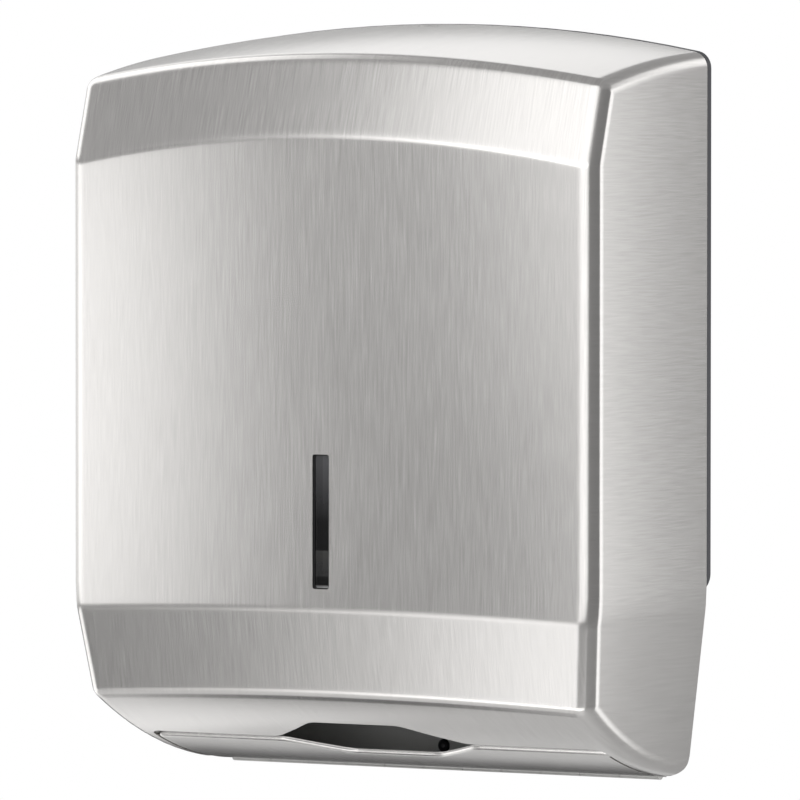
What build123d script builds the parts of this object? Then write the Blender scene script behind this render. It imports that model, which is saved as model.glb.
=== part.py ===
from build123d import *
import os
from math import cos, radians, sin, sqrt, tan

# Wall-mounted folded towel dispenser: a bowed steel cover that swings down on a piano hinge from a
# moulded back plate. Millimetres and degrees. X runs across the dispenser and Y into the wall, whose
# face is Y = 0, so depths into the room are negative. Heights start at the underside of the hinge, and
# the finished pieces are moved down so that the origin is the middle of the four wall screws.

# Cover
cover_width = 280.0
side_depth = 107.4
front_bow = 6.0
front_bottom = 76.9
brow_drop = 50.5
brow_angle = 16.9
chin_angle = 10.0
crown_rise = 13.7
chin_rise = 3.4
top_radius = 560.0
top_rear_height = 333.4
top_rear_slope = 2.5
belly_radius = 210.0
belly_rear_slope = 5.2
lean_height = 84.0
lean_angle = 6.9
lean_bend = 100.0
skin = 1.0
edge_round = 8.0
front_bend = 10.0
brow_bend = 8.0
chin_bend = 8.0
heel_round = 10.0
cover_gap = 0.3

# Towel opening and the exit lip
seam_depth = 67.5
lip_depth = 61.5
lip_fit = 0.3
throat_flat = 47.5
throat_length = 101.0
throat_reach = 17.2
throat_round = 13.0
lip_reach = 15.4
lip_bend = 1.2
lip_corner = 3.0
mouth_corner = 5.0
belly_flange = 8.3
lip_wall_top = 26.0

# Viewing slot with its pane
slot_width = 8.8
slot_height = 61.4
slot_middle = 120.4
slot_round = 1.2
pane_width = 34.0
pane_height = 72.0
pane_thick = 2.0
pane_seat = 0.1
gasket_thick = 0.8
gasket_show = 0.5
stud_radius = 1.5
stud_inset = 5.0
stud_fit = 0.15
stud_tail = 1.2
push_nut_radius = 4.0
push_nut_thick = 0.6

# Back plate
plate_thick = 3.4
shoulder_height = 85.5
shoulder_round = 10.0
tongue_side = 2.5
tongue_round = 3.0
tongue_clear = 1.2
rim_clear = 2.0
rim_wall = 2.0
rim_height = 6.0
ledge_bottom = 83.5
ledge_nose = 88.0
ledge_top = 100.5
ledge_reach = 5.0
screw_spacing_x = 170.0
screw_spacing_z = 180.0
screw_top_drop = 38.4
screw_hole_radius = 2.75
boss_radius = 8.0
boss_height = 2.0

# Piano hinge
hinge_length = 231.0
knuckle_count = 11
knuckle_radius = 2.5
knuckle_gap = 0.3
pin_radius = 1.2
pin_fit = 0.05
leaf_thick = 1.0
fixed_leaf_height = 18.0
moving_leaf_reach = 16.0
leaf_notch = 0.5
leaf_fit = 0.05
leaf_drop = 1.7
rivet_count = 3
rivet_end = 15.5
rivet_height = 11.4
rivet_radius = 1.6
rivet_bore = 0.95
rivet_head_radius = 3.2
rivet_head_height = 1.0
rivet_flare = 2.4
rivet_flare_depth = 0.8

# Sprung latch
latch_depth = 17.0
bolt_radius = 3.0
bolt_fit = 0.05
bolt_entry = 5.0
bolt_tail = 5.0
bolt_nose = 1.2
clip_radius = 5.2
clip_thick = 1.0
clip_groove = 0.6
clip_mouth = 3.6
keeper_drop = 18.1
keeper_width = 26.0
keeper_hole_fit = 0.7
keeper_tab = 14.0
keeper_front = 10.0
keeper_rear = 8.0
weld_gap = 0.1
bracket_thick = 2.0
bracket_width = 34.0
bracket_skirt = 4.0
ear_width = 15.0
ear_front = 7.0
ear_drop = 9.0
ear_spacing = 24.0
bracket_screw_spacing = 25.0
bracket_screw_radius = 1.6
bracket_screw_head_radius = 3.1
bracket_screw_head_height = 1.8
bracket_screw_short = 0.5
bracket_hole_fit = 0.2
spring_wire = 0.8
spring_turns = 7
spring_play = 0.5
spring_seat = 0.1
key_slot_length = 12.0
key_slot_width = 3.2

# Worked out from the sizes above
half_width = cover_width / 2
front_top = top_rear_height - brow_drop
keeper_height = top_rear_height + crown_rise - keeper_drop
screw_middle = top_rear_height - screw_top_drop - screw_spacing_z / 2
cover_rear = -(plate_thick + cover_gap)
front_middle = -(side_depth + front_bow)
hinge_y = -knuckle_radius
hinge_z = knuckle_radius
leaf_up = Vector(0, sin(radians(belly_rear_slope)), cos(radians(belly_rear_slope)))
belly_start = Vector(0, hinge_y, hinge_z) + leaf_up * (knuckle_radius - leaf_drop - leaf_thick - skin)
belly_middle = belly_start + leaf_up * belly_radius
top_middle_y = top_radius * sin(radians(top_rear_slope))
top_middle_z = top_rear_height - top_radius * cos(radians(top_rear_slope))
far = 3 * cover_width


def crown(x):
    """Share of the arch and the bow that is left at a station across the width."""
    return 1 - (x / half_width) ** 2


def reach_circle(start, direction, middle, radius):
    """Point where a line that starts inside a circle leaves it."""
    away = start - middle
    along = away.dot(direction)
    return start + direction * (sqrt(along**2 - away.dot(away) + radius**2) - along)


def on_circle(y, middle, radius, side):
    """Point of a circle at one depth, on its upper side (1) or lower side (-1)."""
    return Vector(y, middle.Y + side * sqrt(radius**2 - (y - middle.X) ** 2))


def side_profile(x, inset, rear):
    """Side outline of the cover at one station, moved inward by inset, in depth and height."""
    front = -(side_depth + front_bow * crown(x)) + inset
    belly = Vector(belly_middle.Y, belly_middle.Z)
    top = Vector(top_middle_y, top_middle_z + crown_rise * crown(x))
    brow = radians(brow_angle)
    chin = radians(chin_angle)
    brow_start = Vector(front, front_top + crown_rise * crown(x) - inset * tan(brow / 2))
    chin_start = Vector(front, front_bottom + chin_rise * crown(x) + inset * tan(chin / 2))
    brow_end = reach_circle(brow_start, Vector(sin(brow), cos(brow)), top, top_radius - inset)
    chin_end = reach_circle(chin_start, Vector(sin(chin), -cos(chin)), belly, belly_radius - inset)
    top_rear = on_circle(rear, top, top_radius - inset, 1)
    top_half = on_circle((rear + brow_end.X) / 2, top, top_radius - inset, 1)
    belly_rear = on_circle(rear, belly, belly_radius - inset, -1)
    belly_half = on_circle((rear + chin_end.X) / 2, belly, belly_radius - inset, -1)
    outline = make_face(
        [
            ThreePointArc(top_rear, top_half, brow_end),
            Line(brow_end, brow_start),
            Line(brow_start, chin_start),
            Line(chin_start, chin_end),
            ThreePointArc(chin_end, belly_half, belly_rear),
            Line(belly_rear, top_rear),
        ]
    )
    bends = [
        (brow_end, brow_bend),
        (brow_start, front_bend),
        (chin_start, front_bend),
        (chin_end, chin_bend),
    ]
    for corner, radius in bends:
        outline = fillet(outline.vertices().sort_by_distance(corner)[0], radius - inset)
    return Plane.YZ.offset(x) * outline


def width_outline(inset):
    """Front outline of the side walls, which lean inward below a soft bend."""
    lean = tan(radians(lean_angle))
    half = half_width - inset
    bend_z = lean_height + inset * tan(radians(lean_angle) / 2)
    foot_z = -half_width
    foot = half - lean * (bend_z - foot_z)
    right = [(half, far), (half, bend_z), (foot, foot_z)]
    left = [(-x, z) for x, z in reversed(right)]
    outline = make_face(Polyline(*right, *left, close=True))
    bends = outline.vertices().filter_by_position(Axis.Y, bend_z - skin, bend_z + skin)
    return fillet(bends, lean_bend - inset)


def cover_form(inset, rear=cover_rear):
    """Solid filled form of the cover, inset from its outer face, with its long edges rounded."""
    stations = [share * half_width for share in (-1.08, -0.54, 0, 0.54, 1.08)]
    form = loft([side_profile(x, inset, rear) for x in stations])
    walls = extrude(Plane.XZ * width_outline(inset), far / 2, both=True)
    form = (form & walls).solid()
    inner_half = half_width - inset - lean_height * tan(radians(lean_angle)) - skin
    bend_reach = lean_bend * tan(radians(lean_angle))
    edges = []
    for edge in form.edges():
        middle = edge.center()
        bend_line = abs(middle.Z - lean_height) < bend_reach and edge.length > half_width / 2
        if abs(middle.X) > inner_half and middle.Y < rear - skin and not bend_line:
            edges.append(edge)
    return fillet(edges, edge_round - inset)


def span(x, y, z):
    """Box between two limits along each axis."""
    size = [abs(high - low) for low, high in (x, y, z)]
    middle = [(low + high) / 2 for low, high in (x, y, z)]
    return Pos(*middle) * Box(*size)


def facing(x, y, z):
    """Placement whose local +Z points from the wall into the room."""
    return Pos(x, y, z) * Rot(90, 0, 0)


def belly_point(inset, run):
    """Point of the belly, inset from its outer face, a run forward of the hinge pin."""
    turn = radians(belly_rear_slope) + run / belly_radius
    radius = belly_radius - inset
    return Vector(0, belly_middle.Y - radius * sin(turn), belly_middle.Z - radius * cos(turn))


def throat_points(edge, reach):
    """Four corners of one half of the towel opening, cut back from a straight edge."""
    return [
        (-throat_length / 2, edge),
        (-throat_flat / 2, edge + reach),
        (throat_flat / 2, edge + reach),
        (throat_length / 2, edge),
    ]


def throat_plan(edge, reach, half, rear, corner_round):
    """Plan area behind an edge that holds one half of the towel opening, with rounded corners."""
    bends = throat_points(edge, reach)
    ends = [(-half, edge), (half, edge)]
    area = make_face(Polyline((-half, rear), ends[0], *bends, ends[1], (half, rear), close=True))
    for bend in bends:
        area = fillet(area.vertices().sort_by_distance(bend)[0], throat_round)
    for end in ends:
        area = fillet(area.vertices().sort_by_distance(end)[0], corner_round)
    return area


# Heights and depths shared by several pieces
outer_form = cover_form(0)
lining_form = cover_form(skin, plate_thick)
core_form = cover_form(2 * skin, plate_thick)
belly_half = half_width - tan(radians(lean_angle)) * lean_height
flange_edge = belly_half - belly_flange
belly_top = lip_wall_top + edge_round
lip_half = flange_edge - lip_fit
lip_rear = hinge_y - knuckle_radius - leaf_notch
knuckle_pitch = hinge_length / knuckle_count
tongue_width = hinge_length + 2 * tongue_side
ear_top = keeper_height - ear_drop
ear_low = ear_top - bracket_thick - ear_spacing
bracket_front = -(plate_thick + bracket_thick)
bracket_middle = (ear_top + ear_low - bracket_thick) / 2
keeper_leg = -(latch_depth + keeper_front)
pane_front = front_middle + skin + pane_seat + gasket_thick
stud_x = pane_width / 2 - stud_inset
stud_z = pane_height / 2 - stud_inset
stud_places = [(x, slot_middle + z) for x in (-stud_x, stud_x) for z in (-stud_z, stud_z)]
rivet_span = hinge_length - 2 * rivet_end
rivet_places = [rivet_span * (k / (rivet_count - 1) - 0.5) for k in range(rivet_count)]
bracket_screw_places = [-bracket_screw_spacing / 2, bracket_screw_spacing / 2]


def heel_cutter():
    """Waste outside the rounded corner where the side walls meet the wall and the belly."""
    y = cover_rear - heel_round
    gap = belly_radius - heel_round
    z = belly_middle.Z - sqrt(gap**2 - (y - belly_middle.Y) ** 2)
    low_y = y - heel_round * leaf_up.Y
    block = span((-half_width, half_width), (low_y, plate_thick), (z - 2 * heel_round, z))
    rod = Pos(0, y, z) * Rot(0, 90, 0) * Cylinder(heel_round, cover_width)
    hinge_room = span((-hinge_length / 2, hinge_length / 2), (-far, far), (-far, far))
    return block - rod - hinge_room


def cover_shell():
    shell = outer_form - lining_form
    throat = throat_plan(-seam_depth, -throat_reach, flange_edge, plate_thick, mouth_corner)
    shell -= extrude(Pos(0, 0, -edge_round) * throat, belly_top + edge_round)
    shell -= heel_cutter()
    slot = Pos(0, slot_middle) * RectangleRounded(slot_width, slot_height, slot_round)
    shell -= extrude(Plane.XZ * slot, far)
    key_slot = Pos(0, -latch_depth, keeper_height) * SlotOverall(key_slot_length, key_slot_width)
    shell -= extrude(key_slot, far)
    return shell


def exit_lip():
    plan = Pos(0, 0, -edge_round) * throat_plan(-lip_depth, lip_reach, lip_half, lip_rear, lip_corner)
    height = lip_wall_top + edge_round
    sheet = (outer_form - lining_form) & extrude(plan, height)
    rim = (outer_form - core_form) & extrude(plan - Pos(0, skin, 0) * plan, height)
    lip = sheet + rim
    bend_edges = []
    for edge in lip.edges():
        middle = edge.center()
        depth = Vector(0, middle.Y, middle.Z) - belly_middle
        inside = abs(middle.X) < lip_half - skin and middle.Y < lip_rear - skin
        if inside and abs(depth.length - belly_radius) < skin / 10:
            bend_edges.append(edge)
    lip = fillet(bend_edges, lip_bend)
    depth = (-lip_depth + lip_corner, lip_rear)
    tab = span((lip_half - 2 * skin, half_width), depth, (-edge_round, lip_wall_top))
    tab += mirror(tab, Plane.YZ)
    tabs = (lining_form - core_form) & tab
    return lip + (tabs - heel_cutter())


def window_gasket():
    frame = Rectangle(pane_width, pane_height) - RectangleRounded(
        slot_width - 2 * gasket_show, slot_height - 2 * gasket_show, slot_round
    )
    gasket = extrude(frame, gasket_thick)
    gasket = facing(0, pane_front, slot_middle) * gasket
    return gasket - [facing(x, 0, z) * Cylinder(stud_radius + stud_fit, far) for x, z in stud_places]


def window_pane():
    pane = extrude(Rectangle(pane_width, pane_height), pane_thick)
    pane = facing(0, pane_front + pane_thick, slot_middle) * pane
    return pane - [facing(x, 0, z) * Cylinder(stud_radius + stud_fit, far) for x, z in stud_places]


def window_studs():
    root = -(side_depth + front_bow * crown(stud_x + stud_radius)) + skin
    tip = pane_front + pane_thick + push_nut_thick + stud_tail
    stud = extrude(Circle(stud_radius), tip - root)
    return [facing(x, tip, z) * stud for x, z in stud_places]


def window_push_nuts():
    nut = extrude(Circle(push_nut_radius) - Circle(stud_radius + stud_fit), push_nut_thick)
    return [facing(x, pane_front + pane_thick + push_nut_thick, z) * nut for x, z in stud_places]


def latch_keeper():
    side = (-keeper_width / 2, keeper_width / 2)
    rise = (keeper_height + weld_gap, far)
    tab = (lining_form - core_form) & span(side, (keeper_leg - keeper_tab, keeper_leg + skin), rise)
    leg = lining_form & span(side, (keeper_leg, keeper_leg + skin), rise)
    shelf = span(side, (keeper_leg, keeper_rear - latch_depth), (keeper_height, keeper_height + skin))
    shelf -= Pos(0, -latch_depth, keeper_height) * Cylinder(bolt_radius + keeper_hole_fit, 4 * skin)
    return Pos(0, 0, -weld_gap) * (tab + leg) + shelf


def knuckle_span(k):
    """Ends of one knuckle along the hinge, with half the running gap left at each side."""
    low = knuckle_pitch * (k - knuckle_count / 2)
    return low + knuckle_gap / 2, low + knuckle_pitch - knuckle_gap / 2


def hinge_rod(radius, low, high):
    return Pos((low + high) / 2, hinge_y, hinge_z) * Rot(0, 90, 0) * Cylinder(radius, high - low)


def hinge_leaf(sheet, first):
    """Leaf with every second knuckle rolled on it and room left for the other leaf's knuckles."""
    reach = knuckle_radius + leaf_notch
    for k in range(1 - first, knuckle_count, 2):
        low, high = knuckle_span(k)
        room = (low - knuckle_gap, high + knuckle_gap)
        sheet -= span(room, (hinge_y - reach, plate_thick), (hinge_z - reach, hinge_z + reach))
    for k in range(first, knuckle_count, 2):
        sheet += hinge_rod(knuckle_radius, *knuckle_span(k))
    return sheet - hinge_rod(pin_radius + pin_fit, -hinge_length, hinge_length)


def rivet_body():
    shank = extrude(Circle(rivet_radius), plate_thick)
    head = Pos(0, 0, plate_thick) * extrude(Circle(rivet_head_radius), rivet_head_height, taper=45)
    flare = Pos(0, 0, rivet_flare_depth / 2) * Cone(rivet_flare, rivet_radius, rivet_flare_depth)
    return shank + head + flare


def fixed_leaf_rivets():
    rivet = rivet_body() - Cylinder(rivet_bore, far)
    return [facing(x, 0, rivet_height) * rivet for x in rivet_places]


def hinge_leaf_fixed():
    half = hinge_length / 2 - knuckle_gap / 2
    sheet = span((-half, half), (-leaf_thick, 0), (hinge_z, fixed_leaf_height))
    sheet -= [facing(x, 0, rivet_height) * rivet_body() for x in rivet_places]
    return hinge_leaf(sheet, 0)


def hinge_leaf_moving():
    low = skin + weld_gap
    high = low + leaf_thick
    half_run, run = moving_leaf_reach / 2, moving_leaf_reach
    strip = make_face(
        [
            ThreePointArc(belly_point(low, 0), belly_point(low, half_run), belly_point(low, run)),
            Line(belly_point(low, run), belly_point(high, run)),
            ThreePointArc(belly_point(high, run), belly_point(high, half_run), belly_point(high, 0)),
            Line(belly_point(high, 0), belly_point(low, 0)),
        ]
    )
    half = hinge_length / 2 - knuckle_gap / 2
    return hinge_leaf(extrude(strip, half, dir=(1, 0, 0), both=True), 1)


def hinge_pin():
    return hinge_rod(pin_radius, -hinge_length / 2, hinge_length / 2)


def plate_outline():
    """Front outline of the plate's wide part, the same arch as the cover's rear edge."""
    top = top_rear_height
    outline = make_face(
        [
            ThreePointArc((-half_width, top), (0, top + crown_rise), (half_width, top)),
            Line((half_width, top), (half_width, shoulder_height)),
            Line((half_width, shoulder_height), (-half_width, shoulder_height)),
            Line((-half_width, shoulder_height), (-half_width, top)),
        ]
    )
    corners = outline.vertices().sort_by(Axis.Y)
    outline = fillet(corners[:2], shoulder_round)
    return fillet(outline.vertices().sort_by(Axis.Y)[-2:], edge_round)


def back_plate():
    outline = plate_outline()
    tongue_bottom = hinge_z + knuckle_radius + tongue_clear
    tongue_height = ledge_top - tongue_bottom
    tongue = RectangleRounded(tongue_width, tongue_height, tongue_round)
    tongue = Pos(0, tongue_bottom + tongue_height / 2) * tongue
    plate = extrude(Plane.XZ * (outline + tongue), plate_thick)
    rim_outer = offset(outline, -(skin + rim_clear))
    rim = rim_outer - offset(rim_outer, -rim_wall) - Pos(0, ledge_top - far / 2) * Rectangle(far, far)
    plate += extrude(Plane.XZ.offset(plate_thick) * rim, rim_height)
    front = -plate_thick
    nose = front - ledge_reach
    corners = [(front, ledge_bottom), (nose, ledge_bottom), (nose, ledge_nose), (front, ledge_top)]
    ledge = make_face(Polyline(*corners, close=True))
    plate += extrude(Plane.YZ * ledge, tongue_width / 2, both=True)
    for x in (-screw_spacing_x / 2, screw_spacing_x / 2):
        for z in (-screw_spacing_z / 2, screw_spacing_z / 2):
            plate += facing(x, front, screw_middle + z) * extrude(Circle(boss_radius), boss_height)
            plate -= facing(x, 0, screw_middle + z) * Cylinder(screw_hole_radius, far)
    half = hinge_length / 2 + leaf_fit
    plate -= span((-half, half), (-leaf_thick - leaf_fit, plate_thick), (0, fixed_leaf_height + leaf_fit))
    plate -= [facing(x, 0, rivet_height) * rivet_body() for x in rivet_places]
    tapped_hole = Cylinder(bracket_screw_radius, far)
    return plate - [facing(x, 0, bracket_middle) * tapped_hole for x in bracket_screw_places]


def latch_bracket():
    half = bracket_width / 2
    low = ear_low - bracket_thick - bracket_skirt
    bracket = span((-half, half), (bracket_front, -plate_thick), (low, ear_top + bracket_skirt))
    ear_end = -(latch_depth + ear_front)
    for top in (ear_top, ear_low):
        bracket += span((-ear_width / 2, ear_width / 2), (ear_end, bracket_front), (top - bracket_thick, top))
    bracket -= Pos(0, -latch_depth, bracket_middle) * Cylinder(bolt_radius + bolt_fit, far)
    hole = bracket_screw_radius + bracket_hole_fit
    return bracket - [facing(x, 0, bracket_middle) * Cylinder(hole, far) for x in bracket_screw_places]


def latch_screws():
    shank = extrude(Circle(bracket_screw_radius), plate_thick + bracket_thick - bracket_screw_short)
    head = extrude(Circle(bracket_screw_head_radius), bracket_screw_head_height)
    head = fillet(head.edges().sort_by(Axis.Z)[-1], bracket_screw_head_height / 2)
    return [
        facing(x, bracket_front, bracket_middle) * head
        + facing(x, -bracket_screw_short, bracket_middle) * shank
        for x in bracket_screw_places
    ]


def latch_bolt():
    top = keeper_height + skin + bolt_entry
    low = ear_low - bracket_thick - bolt_tail
    bolt = Pos(0, -latch_depth, low) * extrude(Circle(bolt_radius), top - low)
    bolt = chamfer(bolt.edges().sort_by(Axis.Z)[-1], bolt_nose)
    groove = Circle(bolt_radius + skin) - Circle(bolt_radius - clip_groove)
    return bolt - Pos(0, -latch_depth, ear_top - bracket_thick - clip_thick) * extrude(groove, clip_thick)


def bolt_clip():
    inner = bolt_radius - clip_groove
    mouth = Pos(0, -clip_radius) * Rectangle(clip_mouth, 2 * clip_radius)
    ring = Circle(clip_radius) - Circle(inner) - mouth
    return Pos(0, -latch_depth, ear_top - bracket_thick - clip_thick) * extrude(ring, clip_thick)


def latch_spring():
    room = ear_top - bracket_thick - clip_thick - ear_low
    coil_radius = bolt_radius + spring_play + spring_wire / 2
    rise = room - spring_wire - 2 * spring_seat
    path = Helix(rise / spring_turns, rise, coil_radius)
    coil = sweep(Plane(path @ 0, z_dir=path % 0) * Circle(spring_wire / 2), path, is_frenet=True)
    return Pos(0, -latch_depth, ear_low + spring_wire / 2 + spring_seat) * coil


def write_pieces(pieces):
    """One file for each piece, with the wall screws' centre as the origin."""
    os.makedirs("parts", exist_ok=True)
    for name, piece in pieces.items():
        solids = piece if isinstance(piece, list) else [piece]
        placed = [Pos(0, 0, -screw_middle) * solid for group in solids for solid in group.solids()]
        export_step(Compound(placed) if len(placed) > 1 else placed[0], f"parts/{name}.step")


write_pieces(
    {
        "cover_shell": cover_shell(),
        "exit_lip": exit_lip(),
        "window_gasket": window_gasket(),
        "window_pane": window_pane(),
        "window_studs": window_studs(),
        "window_push_nuts": window_push_nuts(),
        "latch_keeper": latch_keeper(),
        "hinge_leaf_moving": hinge_leaf_moving(),
        "hinge_leaf_fixed": hinge_leaf_fixed(),
        "hinge_pin": hinge_pin(),
        "fixed_leaf_rivets": fixed_leaf_rivets(),
        "back_plate": back_plate(),
        "latch_bracket": latch_bracket(),
        "latch_screws": latch_screws(),
        "latch_bolt": latch_bolt(),
        "bolt_clip": bolt_clip(),
        "latch_spring": latch_spring(),
    }
)
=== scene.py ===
import math

import bmesh
import bpy
import numpy as np
from mathutils import Euler, Matrix, Vector


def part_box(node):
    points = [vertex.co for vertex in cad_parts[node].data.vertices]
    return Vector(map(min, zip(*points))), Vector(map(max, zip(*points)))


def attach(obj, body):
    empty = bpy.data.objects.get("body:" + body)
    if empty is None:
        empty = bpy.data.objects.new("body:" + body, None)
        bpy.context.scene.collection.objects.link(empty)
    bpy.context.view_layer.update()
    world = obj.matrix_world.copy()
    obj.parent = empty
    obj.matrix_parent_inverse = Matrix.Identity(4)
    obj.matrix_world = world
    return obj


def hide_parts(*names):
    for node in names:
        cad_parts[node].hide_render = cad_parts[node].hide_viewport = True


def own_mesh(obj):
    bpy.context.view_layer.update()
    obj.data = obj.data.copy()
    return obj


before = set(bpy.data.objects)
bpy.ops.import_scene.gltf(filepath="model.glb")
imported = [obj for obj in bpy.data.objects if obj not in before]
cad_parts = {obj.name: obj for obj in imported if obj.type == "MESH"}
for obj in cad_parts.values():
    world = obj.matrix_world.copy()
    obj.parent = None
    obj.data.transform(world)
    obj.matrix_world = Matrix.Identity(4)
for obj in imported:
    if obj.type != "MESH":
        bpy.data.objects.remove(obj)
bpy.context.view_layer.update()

# Looks of a wall-mounted towel dispenser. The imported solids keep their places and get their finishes. The
# cover, the exit lip and the latch spring are made again as clean meshes of the same size, and a studio is
# set around them.
MM = 0.001

# The sizes of the sheet pieces are the part's own, in millimetres. X runs across the dispenser and Y into
# the wall, whose face is Y = 0, so depths into the room are negative. Heights start at the underside of the
# hinge, which is ORIGIN_HEIGHT below the frame's origin.
ORIGIN_HEIGHT = 205.0
SKIN = 1.0

# Cover: front, slanted bands above (brow) and below (chin), arched top, belly and leaning side walls
HALF_WIDTH = 140.0
SIDE_DEPTH = 107.4
FRONT_BOW = 6.0
FRONT_BOTTOM = 76.9
FRONT_TOP = 282.9
BROW_ANGLE = math.radians(16.9)
CHIN_ANGLE = math.radians(10.0)
CROWN_RISE = 13.7
CHIN_RISE = 3.4
TOP_RADIUS = 560.0
TOP_REAR_HEIGHT = 333.4
TOP_REAR_SLOPE = math.radians(2.5)
BELLY_RADIUS = 210.0
BELLY_REAR_SLOPE = math.radians(5.2)
BELLY_START = 1.2
HINGE_RADIUS = 2.5
HINGE_HALF = 115.5
LEAN_HEIGHT = 84.0
LEAN_ANGLE = math.radians(6.9)
LEAN_BEND = 100.0
EDGE_ROUND = 8.0
BROW_BEND = 8.0
CHIN_BEND = 8.0
HEEL_ROUND = 10.0
REAR = -3.7

# The solids turn the front's two bends at 10 mm. They are drawn rounder, for the broad highlights of a
# pressed sheet, and they turn by so little that the skin stays within about 0.1 mm of the solid's.
UPPER_BEND = 18.0
LOWER_BEND = 24.0

# Towel opening in the belly and the exit lip behind its seam
SEAM_DEPTH = 67.5
FLANGE_WIDTH = 8.3
FLANGE_EDGE = HALF_WIDTH - math.tan(LEAN_ANGLE) * LEAN_HEIGHT - FLANGE_WIDTH
MOUTH_CORNER = 5.0
THROAT_FLAT = 47.5
THROAT_LENGTH = 101.0
THROAT_REACH = 17.2
THROAT_ROUND = 13.0
LIP_FIT = 0.3
LIP_HALF = FLANGE_EDGE - LIP_FIT
LIP_DEPTH = 61.5
LIP_REACH = 15.4
LIP_BEND = 1.2
LIP_CORNER = 3.0
LIP_REAR = -5.5
LIP_TAB_TOP = 26.0

# Viewing slot in the front and key slot in the top
SLOT_WIDTH = 8.8
SLOT_HEIGHT = 61.4
SLOT_MIDDLE = 120.4
SLOT_ROUND = 1.2
KEY_LENGTH = 12.0
KEY_WIDTH = 3.2
KEY_ROUND = KEY_WIDTH * 0.499
KEY_DEPTH = -17.0
KEY_HEIGHT = 329.0

# Latch spring
SPRING_TURNS = 7.0
SPRING_WIRE = 0.8

# How the meshes are made: the cover's blank runs past its rear edge by TRIM before it is cut, half of it has
# COVER_STEPS parts across and EDGE_STEPS round its edge, and straight cuts have a point every CUT_STEP.
# Points closer than WELD are merged, edges sharper than SHARP stay sharp, and tools end BEYOND the cover.
TRIM = 6.0
COVER_STEPS = 32
EDGE_STEPS = 10
CORNER_STEPS = 8
LIP_STEPS = 6
TAB_STEPS = 7
HEEL_STEPS = 12
CUT_STEP = 4.0
WELD = 0.08
COIL_WELD = 0.01
SHARP = math.radians(32)
BEYOND = HALF_WIDTH * 1.2

TOP_MIDDLE = (
    TOP_RADIUS * math.sin(TOP_REAR_SLOPE),
    TOP_REAR_HEIGHT - TOP_RADIUS * math.cos(TOP_REAR_SLOPE),
)
BELLY_LIFT = BELLY_RADIUS - BELLY_START
BELLY_MIDDLE = (
    BELLY_LIFT * math.sin(BELLY_REAR_SLOPE) - HINGE_RADIUS,
    BELLY_LIFT * math.cos(BELLY_REAR_SLOPE) + HINGE_RADIUS,
)


def linear(code):
    """An sRGB hex colour as linear RGBA."""
    parts = [int(code[i:i + 2], 16) / 255 for i in (0, 2, 4)]
    return [c / 12.92 if c <= 0.04045 else ((c + 0.055) / 1.055) ** 2.4 for c in parts] + [1.0]


def add(tree, kind, settings=None, links=None):
    """Adds one node, sets its properties or inputs by name, and links its inputs from other outputs."""
    node = tree.nodes.new(kind)
    for name, value in (settings or {}).items():
        if isinstance(name, str) and hasattr(node, name):
            setattr(node, name, value)
        else:
            node.inputs[name].default_value = value
    for name, source in (links or {}).items():
        tree.links.new(source, node.inputs[name])
    return node


def finish_named(name):
    """A new material with its shader joined to the output and nothing else in its tree."""
    material = bpy.data.materials.new(name)
    material.use_nodes = True
    tree = material.node_tree
    tree.nodes.clear()
    shader = add(tree, "ShaderNodeBsdfPrincipled")
    add(tree, "ShaderNodeOutputMaterial", links={"Surface": shader.outputs["BSDF"]})
    return material, tree, shader


# Stainless steel sheet, brushed with an abrasive belt. The belt leaves fine parallel lines, up the front and
# the slanted bands and back along the top and the sides, so that highlights spread across the lines and the
# sheet looks softly streaked. Faint clouds show where the belt pressed harder. Real lines are near 0.1 mm
# wide, too fine to show here, so they are drawn 0.45 mm wide and about 18 mm long.
BRUSH_WIDTH = 0.45
BRUSH_RUN = 18.0
BRUSH_CLOUD = 45.0
BRUSH_RELIEF = 0.004


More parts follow.
